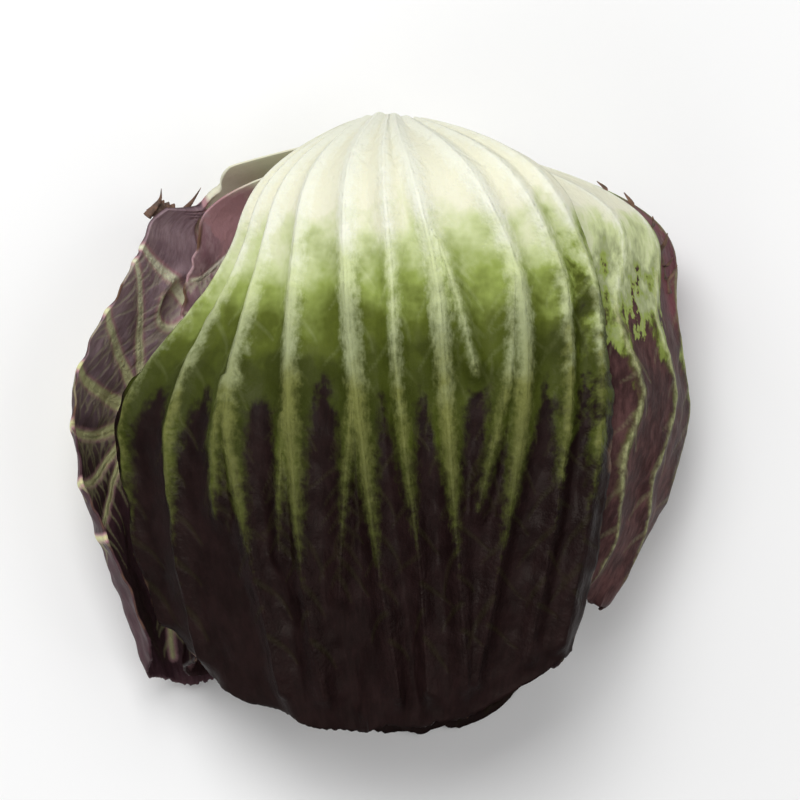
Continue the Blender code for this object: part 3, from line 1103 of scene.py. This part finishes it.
class RADICCHIO_OT_left_leaves(RadicchioOperator):
    """Make the open plum leaf on the left and the rosy one inside it"""

    bl_idname = "radicchio.left_leaves"
    bl_label = "Left leaves"
    leaves = ("left_leaf", "left_inner_leaf")


class RADICCHIO_OT_withered_tips(bpy.types.Operator):
    """Make the dry shreds on the torn edges"""

    bl_idname = "radicchio.withered_tips"
    bl_label = "Withered tips"

    def execute(self, context):
        make_withered_tips()
        return {"FINISHED"}


class RADICCHIO_OT_lower_leaves(RadicchioOperator):
    """Make the leaf that the head lies on and the dark leaves above it"""

    bl_idname = "radicchio.lower_leaves"
    bl_label = "Lower leaves"
    leaves = ("under_leaf", "lower_left_leaf", "lower_right_leaf", "front_leaf")


class RADICCHIO_OT_heart_leaves(RadicchioOperator):
    """Make the tight inner leaves"""

    bl_idname = "radicchio.heart_leaves"
    bl_label = "Heart leaves"
    leaves = tuple(f"heart_leaf_{number + 1}" for number in range(HEART_LEAVES))


class RADICCHIO_OT_stem(bpy.types.Operator):
    """Give the imported cut stem its finish"""

    bl_idname = "radicchio.stem"
    bl_label = "Stem"

    def execute(self, context):
        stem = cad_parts["stem"]
        for slot in stem.material_slots:
            slot.material = bpy.data.materials["cut_stem"]
        return {"FINISHED"}


class RADICCHIO_OT_stage(bpy.types.Operator):
    """Make the floor, the soft lights and the camera"""

    bl_idname = "radicchio.stage"
    bl_label = "Stage"

    def execute(self, context):
        make_floor(make_floor_material(colours()))
        make_lights()
        make_camera()
        return {"FINISHED"}


def make_floor(material):
    bm = bmesh.new()
    bmesh.ops.create_grid(bm, x_segments=4, y_segments=4, size=3.0)
    floor = finish_piece(bm, "floor", material)


def make_lights():
    """Soft lamps from above and the sides in a pale room. Each lamp: name, place, size, power."""
    centre = Vector((0, 0, 0.03))
    for name, place, size, power in (
        ("key_light", (-0.16, 0.34, 1.12), 0.6, 8.4),
        ("side_light", (-0.8, 0.55, 0.75), 0.8, 2.4),
        ("fill_light", (0.75, -0.1, 0.95), 0.8, 3.2),
        ("low_light", (-0.5, -0.8, 0.8), 0.7, 2.4),
    ):
        data = bpy.data.lights.new(name, "AREA")
        data.size = size
        data.energy = power
        light = bpy.data.objects.new(name, data)
        light.location = place
        light.rotation_euler = (centre - light.location).to_track_quat("-Z", "Y").to_euler()
        bpy.context.scene.collection.objects.link(light)
    world = bpy.data.worlds.new("soft_room")
    world.use_nodes = True
    world.node_tree.nodes["Background"].inputs["Color"].default_value = (1, 1, 1, 1)
    world.node_tree.nodes["Background"].inputs["Strength"].default_value = ROOM_LIGHT
    bpy.context.scene.world = world
    bpy.context.scene.view_settings.view_transform = "Standard"


def make_camera():
    """Looks down from just in front of overhead, through a long lens."""
    elevation = math.radians(CAMERA_ELEVATION)
    data = bpy.data.cameras.new("camera")
    data.lens = 150
    data.sensor_width = 36
    distance = VIEW_WIDTH * data.lens / data.sensor_width
    away = Vector((0, -math.cos(elevation), math.sin(elevation)))
    camera = bpy.data.objects.new("camera", data)
    camera.location = Vector(CAMERA_TARGET) + away * distance
    camera.rotation_euler = (-away).to_track_quat("-Z", "Y").to_euler()
    bpy.context.scene.collection.objects.link(camera)
    bpy.context.scene.camera = camera


class RADICCHIO_PT_panel(bpy.types.Panel):
    """Lists the head's parts and settings"""

    bl_idname = "RADICCHIO_PT_panel"
    bl_label = "Radicchio"
    bl_space_type = "VIEW_3D"
    bl_region_type = "UI"
    bl_category = "Radicchio"

    def draw(self, context):
        layout = self.layout
        for name in PIECE_OPERATORS:
            layout.operator("radicchio." + name)
        for settings in (context.scene.radicchio_sizes, context.scene.radicchio_colours):
            for name in settings.__annotations__:
                layout.prop(settings, name)


PIECE_OPERATORS = ("finishes", "top_leaf", "right_leaf", "left_leaves", "withered_tips",
                   "lower_leaves", "heart_leaves", "stem", "stage")

CLASSES = (
    RadicchioSizes,
    RadicchioColours,
    RADICCHIO_OT_finishes,
    RADICCHIO_OT_top_leaf,
    RADICCHIO_OT_right_leaf,
    RADICCHIO_OT_left_leaves,
    RADICCHIO_OT_withered_tips,
    RADICCHIO_OT_lower_leaves,
    RADICCHIO_OT_heart_leaves,
    RADICCHIO_OT_stem,
    RADICCHIO_OT_stage,
    RADICCHIO_PT_panel,
)


def register():
    for cls in CLASSES:
        bpy.utils.register_class(cls)
    bpy.types.Scene.radicchio_sizes = PointerProperty(type=RadicchioSizes)
    bpy.types.Scene.radicchio_colours = PointerProperty(type=RadicchioColours)


def unregister():
    del bpy.types.Scene.radicchio_colours
    del bpy.types.Scene.radicchio_sizes
    for cls in reversed(CLASSES):
        bpy.utils.unregister_class(cls)


def write_sizes():
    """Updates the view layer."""
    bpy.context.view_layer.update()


def main():
    register()
    for name in PIECE_OPERATORS:
        getattr(bpy.ops.radicchio, name)()
    write_sizes()


if __name__ == "__main__":
    main()
